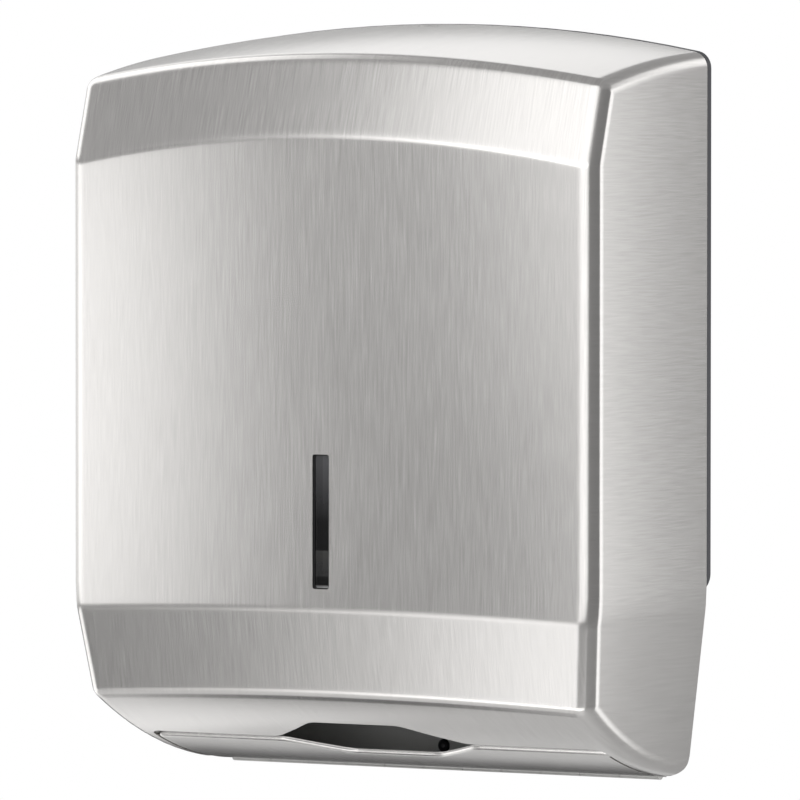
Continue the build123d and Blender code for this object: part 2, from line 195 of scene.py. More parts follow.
def brushed_stainless():
    """The cover's finish, with lines that turn where the sheet turns to the side."""
    material, tree, shader = finish_named("stainless_steel_belt_brushed")
    coords = add(tree, "ShaderNodeTexCoord")

    # Faces that look mostly to the left or the right belong to the side walls.
    facing = add(tree, "ShaderNodeSeparateXYZ", links={0: coords.outputs["Normal"]})
    turned_out = add(tree, "ShaderNodeMath", {"operation": "ABSOLUTE"}, {0: facing.outputs["X"]})
    on_side = add(tree, "ShaderNodeMapRange", {"interpolation_type": "SMOOTHSTEP", 1: 0.45, 2: 0.8},
                  {0: turned_out.outputs[0]})

    # The side walls show about two thirds of the front's contrast.
    line = 1 / (BRUSH_WIDTH * MM)
    run = 1 / (BRUSH_RUN * MM)
    grain = {"Scale": 1.0, "Detail": 2.0, "Roughness": 0.5}
    front_map = add(tree, "ShaderNodeMapping", {"Scale": (line, run, run)}, {0: coords.outputs["Object"]})
    side_map = add(tree, "ShaderNodeMapping", {"Scale": (run, run, line)}, {0: coords.outputs["Object"]})
    front_lines = add(tree, "ShaderNodeTexNoise", grain, {"Vector": front_map.outputs[0]})
    side_lines = add(tree, "ShaderNodeTexNoise", grain, {"Vector": side_map.outputs[0]})
    side_faint = add(tree, "ShaderNodeMath", {"operation": "MULTIPLY_ADD", 1: 0.65, 2: 0.175},
                     {0: side_lines.outputs[0]})
    lines = add(tree, "ShaderNodeMix", {"data_type": "FLOAT"},
                {0: on_side.outputs[0], 2: front_lines.outputs[0], 3: side_faint.outputs[0]})
    clouds = add(tree, "ShaderNodeTexNoise", {"Scale": 1 / (BRUSH_CLOUD * MM), "Detail": 2.0},
                 {"Vector": coords.outputs["Object"]})

    # Colour, gloss and relief follow the lines, and highlights spread across them.
    tone = add(tree, "ShaderNodeMix", {"data_type": "RGBA", 6: linear("BFBDBB"), 7: linear("DDDBD9")},
               {0: lines.outputs[0]})
    line_gloss = add(tree, "ShaderNodeMath", {"operation": "MULTIPLY_ADD", 1: 0.08, 2: 0.195},
                     {0: lines.outputs[0]})
    gloss = add(tree, "ShaderNodeMath", {"operation": "MULTIPLY_ADD", 1: 0.02},
                {0: clouds.outputs[0], 2: line_gloss.outputs[0]})
    across = add(tree, "ShaderNodeMix", {"data_type": "VECTOR", 4: (1, 0, 0), 5: (0, 0, 1)},
                 {0: on_side.outputs[0]})
    tangent = add(tree, "ShaderNodeVectorTransform",
                  {"vector_type": "VECTOR", "convert_from": "OBJECT", "convert_to": "WORLD"},
                  {0: across.outputs[1]})
    relief = add(tree, "ShaderNodeBump", {"Strength": 0.12, "Distance": BRUSH_RELIEF * MM},
                 {"Height": lines.outputs[0]})
    shader.inputs["Metallic"].default_value = 1.0
    shader.inputs["Anisotropic"].default_value = 0.6
    tree.links.new(tone.outputs[2], shader.inputs["Base Color"])
    tree.links.new(gloss.outputs[0], shader.inputs["Roughness"])
    tree.links.new(tangent.outputs[0], shader.inputs["Tangent"])
    tree.links.new(relief.outputs[0], shader.inputs["Normal"])
    return material


def mottled(name, tones, metallic, rough, rough_spread, grit, depth, overlay=None):
    """A plain finish of two tones in fine mottling.

    The roughness spreads about its middle value, and the grain's grit and depth are in millimetres. An
    overlay is a function that takes the tree and the bare colour's socket, and gives the socket of the
    colour with something painted over it, such as painted light.
    """
    material, tree, shader = finish_named(name)
    coords = add(tree, "ShaderNodeTexCoord")
    fine = add(tree, "ShaderNodeTexNoise", {"Scale": 1 / (grit * MM), "Detail": 4.0},
               {"Vector": coords.outputs["Object"]})
    tone = add(tree, "ShaderNodeMix", {"data_type": "RGBA", 6: linear(tones[0]), 7: linear(tones[1])},
               {0: fine.outputs[0]})
    gloss = add(tree, "ShaderNodeMath",
                {"operation": "MULTIPLY_ADD", 1: rough_spread, 2: rough - rough_spread / 2},
                {0: fine.outputs[0]})
    relief = add(tree, "ShaderNodeBump", {"Strength": 0.3, "Distance": depth * MM},
                 {"Height": fine.outputs[0]})
    colour = tone.outputs[2]
    if overlay:
        colour = overlay(tree, colour)
    shader.inputs["Metallic"].default_value = metallic
    tree.links.new(colour, shader.inputs["Base Color"])
    tree.links.new(gloss.outputs[0], shader.inputs["Roughness"])
    tree.links.new(relief.outputs[0], shader.inputs["Normal"])
    return material


# Painted light on the front of the back plate's tongue, just inside the towel opening, where light falls in
# through it: the colour is paled there. It starts at the first of these heights in the frame and is full at
# the second, in millimetres.
OPENING_LIGHT_HEIGHTS = (-150.0, -180.0)


def painted_opening_light(tree, bare):
    """The bare colour, paled by painted light on faces that look to the front near the towel opening."""
    coords = add(tree, "ShaderNodeTexCoord")
    spot = add(tree, "ShaderNodeSeparateXYZ", links={0: coords.outputs["Object"]})
    facing = add(tree, "ShaderNodeSeparateXYZ", links={0: coords.outputs["Normal"]})
    near_exit = add(tree, "ShaderNodeMapRange",
                    {"interpolation_type": "SMOOTHSTEP", 1: OPENING_LIGHT_HEIGHTS[0] * MM, 2: OPENING_LIGHT_HEIGHTS[1] * MM},
                    {0: spot.outputs["Z"]})
    to_front = add(tree, "ShaderNodeMapRange", {1: -0.5, 2: -0.9}, {0: facing.outputs["Y"]})
    share = add(tree, "ShaderNodeMath", {"operation": "MULTIPLY"},
                {0: near_exit.outputs[0], 1: to_front.outputs[0]})
    painted_light_tone = add(tree, "ShaderNodeMix", {"data_type": "RGBA", 7: linear("C4C4C2")},
                 {0: share.outputs[0], 6: bare})
    return painted_light_tone.outputs[2]


# Acrylic sheet, smoked in the mass, cast and polished. It is shiny and nearly black. Its colour holds
# painted light
# and shade for what stands behind it: paler towards the head, where light falls in, a paler block near the
# foot, and a painted highlight along the bright edge at the foot. Each stop is a share of the slot's height
# and the tone that shows there.
PANE_STOPS = (
    (0.012, "A8A8A8"),
    (0.03, "0C0C0D"),
    (0.088, "121213"),
    (0.096, "303031"),
    (0.28, "40403F"),
    (0.29, "0E0E0F"),
    (0.5, "151516"),
    (1.0, "59595B"),
)
PANE_HAZE = 6.0


def smoked_acrylic():
    """The viewing pane's finish, with painted light and shade."""
    material, tree, shader = finish_named("acrylic_sheet_smoked")
    coords = add(tree, "ShaderNodeTexCoord")
    spot = add(tree, "ShaderNodeSeparateXYZ", links={0: coords.outputs["Object"]})
    foot = (SLOT_MIDDLE - SLOT_HEIGHT / 2 - ORIGIN_HEIGHT) * MM
    up = add(tree, "ShaderNodeMapRange", {1: foot, 2: foot + SLOT_HEIGHT * MM}, {0: spot.outputs["Z"]})
    painted_interior = add(tree, "ShaderNodeValToRGB", links={0: up.outputs[0]})
    stops = painted_interior.color_ramp.elements
    while len(stops) < len(PANE_STOPS):
        stops.new(0.5)
    for stop, (share, tone) in zip(stops, PANE_STOPS):
        stop.position = share
        stop.color = linear(tone)

    # Painted shade: the left half is a little darker, and the right edge is darker still, as in the shadow
    # of the gasket.
    left_half = add(tree, "ShaderNodeMapRange", {1: -0.2 * MM, 2: 0.2 * MM, 3: 0.8, 4: 1.0},
                    {0: spot.outputs["X"]})
    right_edge = add(tree, "ShaderNodeMapRange", {1: 3.0 * MM, 2: 3.3 * MM, 3: 1.0, 4: 0.15},
                     {0: spot.outputs["X"]})
    painted_shade = add(tree, "ShaderNodeMath", {"operation": "MULTIPLY"},
               {0: left_half.outputs[0], 1: right_edge.outputs[0]})
    painted_pane_tone = add(tree, "ShaderNodeVectorMath", {"operation": "SCALE"},
               {0: painted_interior.outputs[0], "Scale": painted_shade.outputs[0]})
    haze = add(tree, "ShaderNodeTexNoise", {"Scale": 1 / (PANE_HAZE * MM)},
               {"Vector": coords.outputs["Object"]})
    gloss = add(tree, "ShaderNodeMath", {"operation": "MULTIPLY_ADD", 1: 0.06, 2: 0.05},
                {0: haze.outputs[0]})
    shader.inputs["IOR"].default_value = 1.49
    shader.inputs["Transmission Weight"].default_value = 0.2
    tree.links.new(painted_pane_tone.outputs[0], shader.inputs["Base Color"])
    tree.links.new(gloss.outputs[0], shader.inputs["Roughness"])
    return material


steel_skin = brushed_stainless()

# The grain of the finishes below is near 0.1 mm in life, and is drawn as coarse as each grit, to show.

# Stainless strip, cold rolled and not polished: a smooth grey metal, a little duller than the cover.
steel_hinge = mottled("stainless_steel_cold_rolled", ("B4B3B1", "C6C5C3"), metallic=1.0, rough=0.34,
                      rough_spread=0.12, grit=1.2, depth=0.01)

# Steel, bright zinc plated: a cool, pale metal whose gloss changes from spot to spot.
steel_fixings = mottled("steel_bright_zinc_plated", ("B9BABC", "CFD0D2"), metallic=1.0, rough=0.3,
                        rough_spread=0.14, grit=1.5, depth=0.01)

# Aluminium rivets, black anodised: dark and satin, with a metal's dim highlights.
rivet_alloy = mottled("aluminium_black_anodised", ("2C2C2D", "38383A"), metallic=1.0, rough=0.5,
                      rough_spread=0.12, grit=0.8, depth=0.01)

# ABS, moulded in a tool with a spark-eroded texture: a matt charcoal with a fine, even grain, paled by
# painted light near the towel opening.
charcoal_moulding = mottled("abs_moulded_spark_textured", ("44454A", "505156"), metallic=0.0, rough=0.58,
                            rough_spread=0.12, grit=0.7, depth=0.03, overlay=painted_opening_light)

# EPDM foam, die cut from sheet: black and dull, with open pores that take the light.
gasket = mottled("epdm_foam_die_cut", ("0E0E0F", "1A1A1B"), metallic=0.0, rough=0.85,
                 rough_spread=0.1, grit=0.5, depth=0.05)

finishes = {
    "steel_skin": steel_skin,
    "steel_hinge": steel_hinge,
    "steel_fixings": steel_fixings,
    "rivet_alloy": rivet_alloy,
    "charcoal_moulding": charcoal_moulding,
    "smoked_pane": smoked_acrylic(),
    "gasket": gasket,
}
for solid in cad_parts.values():
    dress = solid.material_slots[0]
    dress.material = finishes[dress.material.name.split(".")[0]]


def even(count):
    """Shares from 0 to 1 in equal steps."""
    return [k / (count - 1) for k in range(count)]


def crowded(count):
    """Shares from 0 to 1 that crowd towards both ends."""
    return [0.5 - 0.5 * math.cos(math.pi * share) for share in even(count)]


def reach_circle(y, z, direction, middle, radius):
    """Where lines that start inside circles leave them."""
    from_y = y - middle[0]
    from_z = z - middle[1]
    along = from_y * direction[0] + from_z * direction[1]
    run = np.sqrt(along**2 - from_y**2 - from_z**2 + radius**2) - along
    return y + direction[0] * run, z + direction[1] * run


def outline(x):
    """Side outlines of the cover at stations across it, from the top's rear edge round to the belly's.

    Gives depth, height and the angle of the outward normal, with a row for each point and a column for each
    station.
    """
    bow = 1 - (x / HALF_WIDTH) ** 2
    front = -(SIDE_DEPTH + FRONT_BOW * bow)
    brow_z = FRONT_TOP + CROWN_RISE * bow
    chin_z = FRONT_BOTTOM + CHIN_RISE * bow
    top = (TOP_MIDDLE[0], TOP_MIDDLE[1] + CROWN_RISE * bow)
    brow_cos, brow_sin = math.cos(BROW_ANGLE), math.sin(BROW_ANGLE)
    chin_cos, chin_sin = math.cos(CHIN_ANGLE), math.sin(CHIN_ANGLE)
    brow = reach_circle(front + BROW_BEND * brow_cos, brow_z - BROW_BEND * brow_sin, (brow_sin, brow_cos),
                        top, TOP_RADIUS - BROW_BEND)
    chin = reach_circle(front + CHIN_BEND * chin_cos, chin_z + CHIN_BEND * chin_sin, (chin_sin, -chin_cos),
                        BELLY_MIDDLE, BELLY_RADIUS - CHIN_BEND)
    upper = (front + UPPER_BEND, brow_z - UPPER_BEND * math.tan(BROW_ANGLE / 2))
    lower = (front + LOWER_BEND, chin_z + LOWER_BEND * math.tan(CHIN_ANGLE / 2))
    top_start = math.pi / 2 + math.asin((top[0] - REAR - TRIM / 2) / TOP_RADIUS)
    top_end = np.arctan2(brow[1] - top[1], brow[0] - top[0])
    belly_start = 2 * math.pi + np.arctan2(chin[1] - BELLY_MIDDLE[1], chin[0] - BELLY_MIDDLE[0])
    belly_end = 1.5 * math.pi - math.asin((BELLY_MIDDLE[0] - REAR - TRIM / 2) / BELLY_RADIUS)
    brow_turn = math.pi - BROW_ANGLE
    chin_turn = math.pi + CHIN_ANGLE

    # Middle, radius, first and last angle, shares of the turn, and the points of the straight run after it.
    # An arc that goes straight on from the arc before leaves out the point that they share.
    arcs = [
        (top, TOP_RADIUS, top_start, top_end, crowded(18), 0),
        (brow, BROW_BEND, top_end, brow_turn, even(11)[1:], 9),
        (upper, UPPER_BEND, brow_turn, math.pi, even(9), 15),
        (lower, LOWER_BEND, math.pi, chin_turn, even(8), 9),
        (chin, CHIN_BEND, chin_turn, belly_start, even(11), 0),
        (BELLY_MIDDLE, BELLY_RADIUS, belly_start, belly_end, crowded(18)[1:], 0),
    ]
    rows = []
    for k, (middle, radius, start, end, shares, straight) in enumerate(arcs):
        for share in shares:
            turn = start + (end - start) * share + 0 * x
            rows.append((middle[0] + radius * np.cos(turn), middle[1] + radius * np.sin(turn), turn))
        if straight:
            last_y, last_z, last_turn = rows[-1]
            next_middle, next_radius, next_turn = arcs[k + 1][:3]
            run_y = next_middle[0] + next_radius * np.cos(next_turn) - last_y
            run_z = next_middle[1] + next_radius * np.sin(next_turn) - last_z
            for share in crowded(straight)[1:-1]:
                rows.append((last_y + run_y * share, last_z + run_z * share, last_turn))
    return [np.array(part) for part in zip(*rows)]


def skin_points(x):
    """Points and outward normals of the cover's skin, one for each row of the outline at its own station."""
    step = 0.01
    y, z, turn = [np.diagonal(part) for part in outline(x)]
    y_up, z_up, _ = [np.diagonal(part) for part in outline(x + step)]
    y_down, z_down, _ = [np.diagonal(part) for part in outline(x - step)]
    slope = (np.cos(turn) * (y_up - y_down) + np.sin(turn) * (z_up - z_down)) / (2 * step)
    normals = np.stack([-slope, np.cos(turn), np.sin(turn)], axis=1)
    return np.stack([x, y, z], axis=1), normals / np.linalg.norm(normals, axis=1, keepdims=True)


def wall(z):
    """Half width of the side walls and their lean at each height."""
    bend_top = LEAN_HEIGHT + LEAN_BEND * math.tan(LEAN_ANGLE / 2)
    lean = np.arcsin(np.clip((bend_top - z) / LEAN_BEND, 0, math.sin(LEAN_ANGLE)))
    below = np.maximum(bend_top - LEAN_BEND * math.sin(LEAN_ANGLE) - z, 0)
    return HALF_WIDTH - LEAN_BEND * (1 - np.cos(lean)) - math.tan(LEAN_ANGLE) * below, lean


def roll(start, end, share):
    """Directions part of the way from one set of directions to another."""
    turn = np.arccos(np.clip((start * end).sum(axis=1), -1, 1))[:, None]
    return (np.sin((1 - share) * turn) * start + np.sin(share * turn) * end) / np.sin(turn)


def sheet(name, columns):
    """A closed sheet of quads from columns of points with outward normals, in millimetres.

    The inner face repeats the points one skin further in, and the rim joins the two faces.
    """
    rows = len(columns[0][0])
    count = rows * len(columns)
    outer = np.concatenate([points for points, _ in columns])
    normals = np.concatenate([directions for _, directions in columns])
    points = (np.concatenate([outer, outer - SKIN * normals]) + np.array((0, 0, -ORIGIN_HEIGHT))) * MM
    faces = []
    for c in range(len(columns) - 1):
        for r in range(rows - 1):
            a = c * rows + r
            faces.append((a, a + 1, a + rows + 1, a + rows))
            faces.append(tuple(count + k for k in reversed(faces[-1])))
    rim = [c * rows for c in range(len(columns))]
    rim += [count - rows + r for r in range(1, rows)]
    rim += [c * rows + rows - 1 for c in reversed(range(len(columns) - 1))]
    rim += list(reversed(range(1, rows - 1)))
    for k, here in enumerate(rim):
        after = rim[(k + 1) % len(rim)]
        faces.append((here, after, count + after, count + here))
    mesh = bpy.data.meshes.new(name)
    mesh.from_pydata(points, [], faces)
    form = bmesh.new()
    form.from_mesh(mesh)
    bmesh.ops.remove_doubles(form, verts=form.verts, dist=WELD * MM)
    form.to_mesh(mesh)
    form.free()
    return mesh


def cover_columns():
    """Columns of points over the cover, from the rear edge of one side wall across to the other's."""
    x = np.full(outline(np.zeros(1))[0].shape[0], HALF_WIDTH - EDGE_ROUND)
    # The rounded edge touches the skin where its middle stands one radius inside both the skin and the wall.
    for _ in range(8):
        points, normals = skin_points(x)
        middles = points - normals * EDGE_ROUND
        half, lean = wall(middles[:, 2])
        x = half - EDGE_ROUND / np.cos(lean) + normals[:, 0] * EDGE_ROUND
    outward = np.stack([np.cos(lean), 0 * lean, -np.sin(lean)], axis=1)
    right = [skin_points(x * k / COVER_STEPS) for k in range(COVER_STEPS)]
    right += [skin_points(x * share) for share in (0.99, 1.0)]
    for step in range(1, EDGE_STEPS + 1):
        turned = roll(normals, outward, step / EDGE_STEPS)
        right.append((middles + EDGE_ROUND * turned, turned))
    foot = right[-1][0]
    room = REAR + TRIM - foot[:, 1]
    for share in (np.minimum(1.5 / room, 0.3), 0.5, 1):
        column = foot.copy()
        column[:, 1] += room * share
        right.append((column, outward))
    mirror = np.array((-1, 1, 1))
    left = [(points * mirror, normals * mirror) for points, normals in reversed(right[1:])]
    return left + right


def belly_height(y, inset=0.0):
    """Height of the belly's skin at a depth, or of a face that lies further in."""
    return BELLY_MIDDLE[1] - math.sqrt((BELLY_RADIUS - inset) ** 2 - (y - BELLY_MIDDLE[0]) ** 2)


def belly_normal(y, z):
    """Outward direction of the belly's skin."""
    return np.array((0, y - BELLY_MIDDLE[0], z - BELLY_MIDDLE[1])) / BELLY_RADIUS


def rounded(corners, closed):
    """A path of straight runs in a plane, with each corner rounded by its own radius, as close points."""
    path = []
    for k, (x, y, radius) in enumerate(corners):
        here = Vector((x, y))
        if not radius:
            path.append(here)
            continue
        before = Vector(corners[k - 1][:2]) - here
        after = Vector(corners[(k + 1) % len(corners)][:2]) - here
        half = before.angle(after) / 2
        before.normalize()
        after.normalize()
        middle = here + (before + after).normalized() * radius / math.sin(half)
        start = here + before * radius / math.tan(half) - middle
        turn = start.angle_signed(here + after * radius / math.tan(half) - middle)
        for step in range(CORNER_STEPS + 1):
            path.append(middle + Matrix.Rotation(-turn * step / CORNER_STEPS, 2) @ start)
    close = []
    for k in range(len(path) if closed else len(path) - 1):
        here, after = path[k], path[(k + 1) % len(path)]
        parts = max(1, math.ceil((after - here).length / CUT_STEP))
        close += [here.lerp(after, p / parts) for p in range(parts)]
    return close if closed else close + [path[-1]]


def throat(edge, reach, half, rear, corner):
    """Corners of the plan behind an edge that holds one half of the towel opening."""
    right = [
        (THROAT_FLAT / 2, edge + reach, THROAT_ROUND),
        (THROAT_LENGTH / 2, edge, THROAT_ROUND),
        (half, edge, corner),
        (half, rear, 0),
    ]
    return [(-x, y, radius) for x, y, radius in reversed(right)] + right


def lip_columns():
    """Columns of points over the exit lip: down its rim, round the bend and back along the belly."""
    path = rounded(throat(-LIP_DEPTH, LIP_REACH, LIP_HALF, LIP_REAR, LIP_CORNER), False)[1:-1]
    slack = 0.001
    corner_end = LIP_CORNER - LIP_DEPTH + slack
    path = [spot for spot in path if abs(spot.x) < LIP_HALF - slack or spot.y < corner_end]
    columns = []
    for k, here in enumerate(path):
        along = path[min(k + 1, len(path) - 1)] - path[max(k - 1, 0)]
        inward = np.array((-along.y, along.x, 0)) / along.length
        low = belly_height(here.y)
        out = belly_normal(here.y, low)
        points = [(here.x, here.y, low + 2 * SKIN)]
        normals = [-inward]
        for step in range(LIP_STEPS + 1):
            turn = math.pi / 2 * step / LIP_STEPS
            spot = np.array((here.x, here.y, 0)) + inward * LIP_BEND * (1 - math.cos(turn))
            points.append((spot[0], spot[1], belly_height(spot[1]) + LIP_BEND * (1 - math.sin(turn))))
            turned = out * math.sin(turn) - inward * math.cos(turn)
            normals.append(turned / np.linalg.norm(turned))
        start = points[-1]
        for share in (0.02, 0.06, 0.15, 0.3, 0.5, 0.7, 0.9, 1.0):
            y = start[1] + (LIP_REAR - start[1]) * share
            points.append((start[0], y, belly_height(y)))
            normals.append(belly_normal(y, points[-1][2]))
        columns.append((np.array(points), np.array(normals)))
    return columns


def tab_columns(side):
    """Columns of points over the tab that joins one end of the lip to the inside of a side wall."""
    bend = EDGE_ROUND - SKIN
    front = LIP_CORNER - LIP_DEPTH
    mirror = np.array((side, 1, 1))
    columns = []
    for share in crowded(12):
        y = front + (LIP_REAR - front) * share
        low = belly_height(y, SKIN)
        half, lean = wall(low + bend)
        middle = half - EDGE_ROUND / math.cos(lean)
        points = [(LIP_HALF - 2 * SKIN, y, low)]
        normals = [(0, 0, -1)]
        for step in range(TAB_STEPS + 1):
            turn = (math.pi / 2 - lean) * step / TAB_STEPS
            normals.append((math.sin(turn), 0, -math.cos(turn)))
            points.append((middle + bend * math.sin(turn), y, low + bend * (1 - math.cos(turn))))
        points.append((wall(LIP_TAB_TOP)[0] - SKIN / math.cos(lean), y, LIP_TAB_TOP))
        normals.append(normals[-1])
        columns.append((np.array(points) * mirror, np.array(normals) * mirror))
    return columns[::side]


def in_plan(a, b, end):
    """Puts a path drawn from above in place."""
    return Vector((a, b, end))


def in_front_view(a, b, end):
    """Puts a path drawn from the front in place."""
    return Vector((a, end, b))


def in_side_view(a, b, end):
    """Puts a path drawn from the side in place."""
    return Vector((end, a, b))


def prism(form, path, lift, low, high):
    """Adds a closed prism to a bmesh: a path put in place by lift and drawn out between two limits."""
    base = Vector((0, 0, ORIGIN_HEIGHT))
    ends = [[form.verts.new((lift(a, b, end) - base) * MM) for a, b in path] for end in (low, high)]
    form.faces.new(ends[0])
    form.faces.new(ends[1])
    for k in range(len(path)):
        after = (k + 1) % len(path)
        form.faces.new((ends[0][k], ends[0][after], ends[1][after], ends[1][k]))


def heel_path():
    """Side view of the waste outside the rounded corner between a side wall's rear edge and the belly."""
    y = REAR - HEEL_ROUND
    z = belly_height(y, HEEL_ROUND)
    turns = [-(math.pi / 2 + BELLY_REAR_SLOPE) * k / HEEL_STEPS for k in range(HEEL_STEPS + 1)]
    arc = [(y + HEEL_ROUND * math.cos(a), z + HEEL_ROUND * math.sin(a)) for a in turns]
    below = z - 2 * HEEL_ROUND
    return [(HEEL_ROUND, z)] + arc + [(arc[-1][0], below), (HEEL_ROUND, below)]


def box_corners(x, y, wide, high, radius):
    """Corners of a rectangle about its middle."""
    signs = ((-1, -1), (1, -1), (1, 1), (-1, 1))
    return [(x + a * wide / 2, y + b * high / 2, radius) for a, b in signs]


def cutter(name, paths):
    """An object of closed prisms that cuts openings in a sheet."""
    form = bmesh.new()
    for path in paths:
        prism(form, *path)
    bmesh.ops.recalc_face_normals(form, faces=form.faces)
    mesh = bpy.data.meshes.new(name)
    form.to_mesh(mesh)
    form.free()
    tool = bpy.data.objects.new(name, mesh)
    bpy.context.scene.collection.objects.link(tool)
    return tool


def cut_sheet(name, meshes, tool):
    """One piece of sheet metal: its parts are cut by the tool, if there is one, and joined."""
    form = bmesh.new()
    for mesh in meshes:
        blank = bpy.data.objects.new(name, mesh)
        bpy.context.scene.collection.objects.link(blank)
        if tool:
            cut = blank.modifiers.new("cut", "BOOLEAN")
            cut.operation = "DIFFERENCE"
            cut.solver = "EXACT"
            cut.use_self = True
            cut.object = tool
        made = bpy.data.meshes.new_from_object(blank.evaluated_get(bpy.context.evaluated_depsgraph_get()))
        form.from_mesh(made)
        bpy.data.objects.remove(blank)
        bpy.data.meshes.remove(made)
    mesh = bpy.data.meshes.new(name)
    form.to_mesh(mesh)
    form.free()
    mesh.shade_smooth()
    mesh.set_sharp_from_angle(angle=SHARP)
    mesh.materials.clear()
    mesh.materials.append(steel_skin)
    piece = bpy.data.objects.new(name, mesh)
    bpy.context.scene.collection.objects.link(piece)
    return piece


heel_cuts = [(heel_path(), in_side_view, *sorted((side * HINGE_HALF, side * BEYOND))) for side in (-1, 1)]
slot_corners = box_corners(0, SLOT_MIDDLE, SLOT_WIDTH, SLOT_HEIGHT, SLOT_ROUND)
key_corners = box_corners(0, KEY_DEPTH, KEY_LENGTH, KEY_WIDTH, KEY_ROUND)
mouth_corners = throat(-SEAM_DEPTH, -THROAT_REACH, FLANGE_EDGE, HEEL_ROUND, MOUTH_CORNER)
rear_corners = [
    (REAR, -BEYOND, 0),
    (BEYOND, -BEYOND, 0),
    (BEYOND, 4 * BEYOND, 0),
    (REAR, 4 * BEYOND, 0),
]
cover_tool = cutter("cover_tool", heel_cuts + [
    (rounded(rear_corners, True), in_side_view, -BEYOND, BEYOND),
    (rounded(slot_corners, True), in_front_view, -BEYOND, -SIDE_DEPTH / 2),
    (rounded(key_corners, True), in_plan, KEY_HEIGHT, KEY_HEIGHT + BEYOND),
    (rounded(mouth_corners, True), in_plan, -BEYOND, LIP_TAB_TOP + EDGE_ROUND),
])
heel_tool = cutter("heel_tool", heel_cuts)
cover_sheet = cut_sheet("cover_sheet", [sheet("cover", cover_columns())], cover_tool)
lip_sheet = cut_sheet("lip_sheet", [sheet("lip", lip_columns())], None)
lip_tabs = cut_sheet("lip_tabs", [sheet("tab", tab_columns(side)) for side in (-1, 1)], heel_tool)
bpy.data.objects.remove(cover_tool)
bpy.data.objects.remove(heel_tool)
for piece, node in ((cover_sheet, "cover_shell"), (lip_sheet, "exit_lip"), (lip_tabs, "exit_lip")):
    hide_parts(node)
    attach(piece, "cover")


def coil_tree():
    """Geometry Nodes for a round wire wound into an upright coil of even turns."""
    tree = bpy.data.node_groups.new("coil_spring", "GeometryNodeTree")
    sockets = {
        "Turns": "Float",
        "Height": "Float",
        "Coil Radius": "Float",
        "Wire Radius": "Float",
        "Place": "Vector",
        "Finish": "Material",
    }
    for name, kind in sockets.items():
        tree.interface.new_socket(name, in_out="INPUT", socket_type="NodeSocket" + kind)
    tree.interface.new_socket("Coil", in_out="OUTPUT", socket_type="NodeSocketGeometry")
    given = add(tree, "NodeGroupInput").outputs
    path = add(tree, "GeometryNodeCurveSpiral", {"Resolution": 28}, {
        "Rotations": given["Turns"],
        "Start Radius": given["Coil Radius"],
        "End Radius": given["Coil Radius"],
        "Height": given["Height"],
    })
    section = add(tree, "GeometryNodeCurvePrimitiveCircle", {"Resolution": 12},
                  {"Radius": given["Wire Radius"]})
    wire = add(tree, "GeometryNodeCurveToMesh", {"Fill Caps": True},
               {"Curve": path.outputs[0], "Profile Curve": section.outputs[0]})
    placed = add(tree, "GeometryNodeTransform",
                 links={"Geometry": wire.outputs[0], "Translation": given["Place"]})
    whole = add(tree, "GeometryNodeRealizeInstances", links={"Geometry": placed.outputs[0]})
    smooth = add(tree, "GeometryNodeSetShadeSmooth", links={"Geometry": whole.outputs[0]})
    coated = add(tree, "GeometryNodeSetMaterial",
                 links={"Geometry": smooth.outputs[0], "Material": given["Finish"]})
    add(tree, "NodeGroupOutput", links={"Coil": coated.outputs[0]})
    return tree


def wound_coil(name, values):
    """A plain mesh object of the coil, wound to the values of the tree's inputs."""
    maker = bpy.data.objects.new(name, bpy.data.meshes.new(name))
    bpy.context.scene.collection.objects.link(maker)
    winding = maker.modifiers.new("winding", "NODES")
    winding.node_group = coil_tree()
    for socket in winding.node_group.interface.items_tree:
        if socket.in_out == "INPUT":
            winding[socket.identifier] = values[socket.name]
    mesh = bpy.data.meshes.new_from_object(maker.evaluated_get(bpy.context.evaluated_depsgraph_get()))
    bpy.data.objects.remove(maker)
    form = bmesh.new()
    form.from_mesh(mesh)
    bmesh.ops.remove_doubles(form, verts=form.verts, dist=COIL_WELD * MM)
    bmesh.ops.recalc_face_normals(form, faces=form.faces)
    form.to_mesh(mesh)
    form.free()
    made = bpy.data.objects.new(name, mesh)
    bpy.context.scene.collection.objects.link(made)
    return made


# The coil stands where the imported spring stands.
spring_low, spring_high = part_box("latch_spring")
spring_height = spring_high[2] - spring_low[2]
spring_middle = Vector((
    (spring_low[0] + spring_high[0]) / 2,
    (spring_low[1] + spring_high[1]) / 2,
    spring_low[2],
))
coil = wound_coil("latch_coil", {
    "Turns": SPRING_TURNS,
    "Height": spring_height - SPRING_WIRE * MM,
    "Coil Radius": (spring_high[0] - spring_low[0] - SPRING_WIRE * MM) / 2,
    "Wire Radius": SPRING_WIRE / 2 * MM,
    "Place": spring_middle + Vector((0, 0, SPRING_WIRE / 2 * MM)),
    "Finish": steel_fixings,
})
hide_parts("latch_spring")
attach(coil, "wall_unit")
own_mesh(coil)


def heading(azimuth, elevation, distance):
    """A point seen from the object: azimuth from the front towards the right, in degrees and metres."""
    a = math.radians(azimuth)
    e = math.radians(elevation)
    return Vector((math.sin(a) * math.cos(e), -math.cos(a) * math.cos(e), math.sin(e))) * distance


def soft_box(name, azimuth, sides, ends, glow, distance):
    """An upright lamp that faces the object and shines evenly between two sides and two ends, in degrees."""
    left, right = [distance * math.tan(math.radians(a)) for a in sides]
    low, high = [distance * math.tan(math.radians(a)) for a in ends]
    lamp = bpy.data.lights.new(name, "AREA")
    lamp.shape = "RECTANGLE"
    lamp.size = right - left
    lamp.size_y = high - low
    lamp.energy = glow * math.pi * lamp.size * lamp.size_y
    holder = bpy.data.objects.new(name, lamp)
    turn = Euler((math.radians(90), 0, math.radians(azimuth)))
    offset = Vector(((left + right) / 2, (low + high) / 2, 0))
    offset.rotate(turn)
    holder.location = heading(azimuth, 0, distance) + offset
    holder.rotation_euler = turn
    holder.visible_camera = False
    bpy.context.scene.collection.objects.link(holder)


